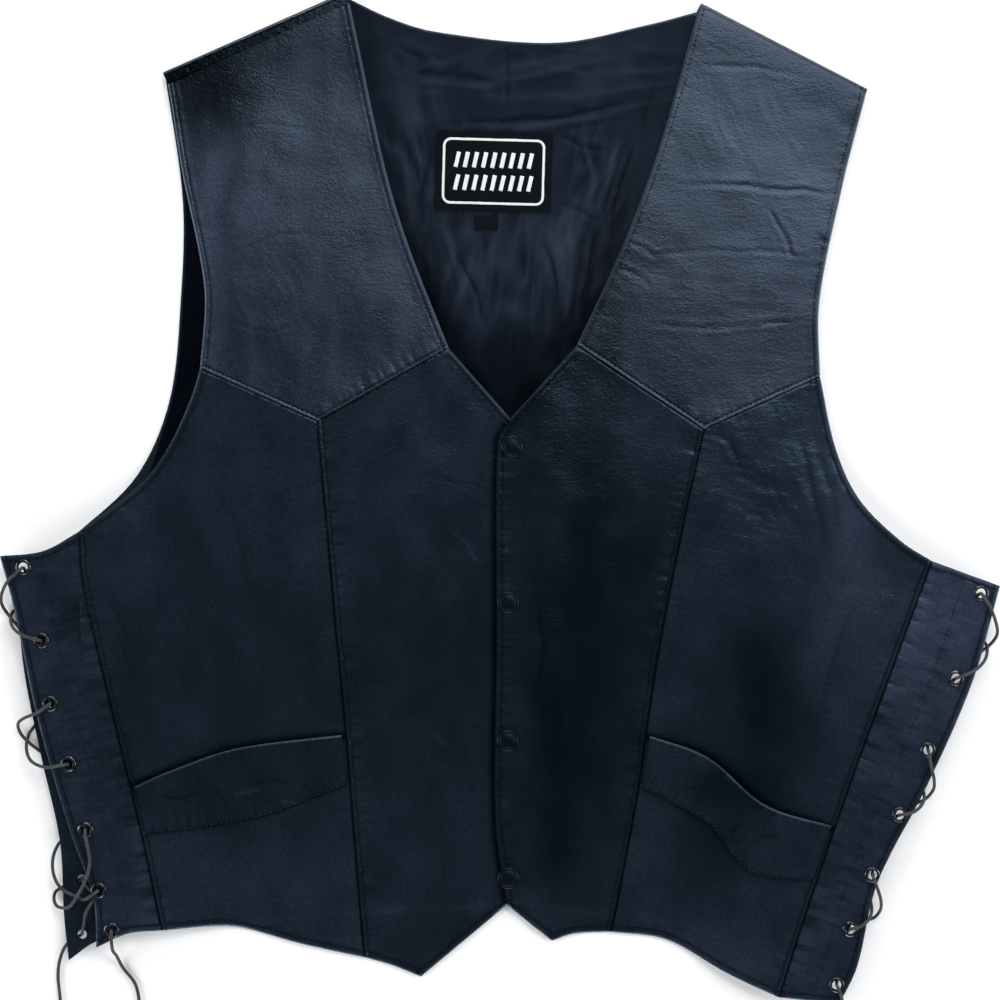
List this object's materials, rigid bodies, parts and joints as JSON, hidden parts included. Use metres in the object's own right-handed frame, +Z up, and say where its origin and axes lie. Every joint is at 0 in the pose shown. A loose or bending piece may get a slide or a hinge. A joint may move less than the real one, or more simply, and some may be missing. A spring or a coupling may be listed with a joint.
{
  "type": "biker vest",
  "caption": "Dark leather biker vest laid flat on its back: V neck, yoked fronts with welt pockets, snapped front edge and laced sides.",
  "frame": {"origin": "on the surface the vest lies on, under the middle of its outline without the laces", "axes": "+X to the right of the vest as seen from above, +Y towards the neck, +Z up from the surface"},
  "size_m": [0.7187, 0.7761, 0.0172],
  "materials": {
    "leather": "satin, fine grain",
    "lining": "satin lining cloth",
    "label": "woven patch",
    "eyelet": "gunmetal, rims worn bright",
    "snap": "black enamel",
    "lace": "matt"
  },
  "bodies": {
    "root": {"back_panel": "leather", "yoke_left": "leather", "yoke_right": "leather", "side_front_left": "leather", "side_front_right": "leather", "pocket_welt_left": "leather", "pocket_welt_right": "leather", "lace_strip_left": "leather", "lace_strip_right": "leather", "center_front_left": "leather", "center_front_right": "leather", "back_lining": "lining", "neck_label": "label", "size_tab": "label", "eyelet_front_left_1": "eyelet", "eyelet_front_left_2": "eyelet", "eyelet_front_left_3": "eyelet", "eyelet_front_left_4": "eyelet", "eyelet_front_left_5": "eyelet", "eyelet_front_left_6": "eyelet", "eyelet_front_left_7": "eyelet", "eyelet_back_left_1": "eyelet", "eyelet_back_left_2": "eyelet", "eyelet_back_left_3": "eyelet", "eyelet_back_left_4": "eyelet", "eyelet_back_left_5": "eyelet", "eyelet_back_left_6": "eyelet", "eyelet_back_left_7": "eyelet", "eyelet_front_right_1": "eyelet", "eyelet_front_right_2": "eyelet", "eyelet_front_right_3": "eyelet", "eyelet_front_right_4": "eyelet", "eyelet_front_right_5": "eyelet", "eyelet_front_right_6": "eyelet", "eyelet_front_right_7": "eyelet", "eyelet_back_right_1": "eyelet", "eyelet_back_right_2": "eyelet", "eyelet_back_right_3": "eyelet", "eyelet_back_right_4": "eyelet", "eyelet_back_right_5": "eyelet", "eyelet_back_right_6": "eyelet", "eyelet_back_right_7": "eyelet", "snap_cap_1": "snap", "snap_cap_2": "snap", "snap_cap_3": "snap", "snap_cap_4": "snap", "lace_left_rising": "lace", "lace_left_falling": "lace", "lace_right_rising": "lace", "lace_right_falling": "lace"}
  },
  "joints": []
}
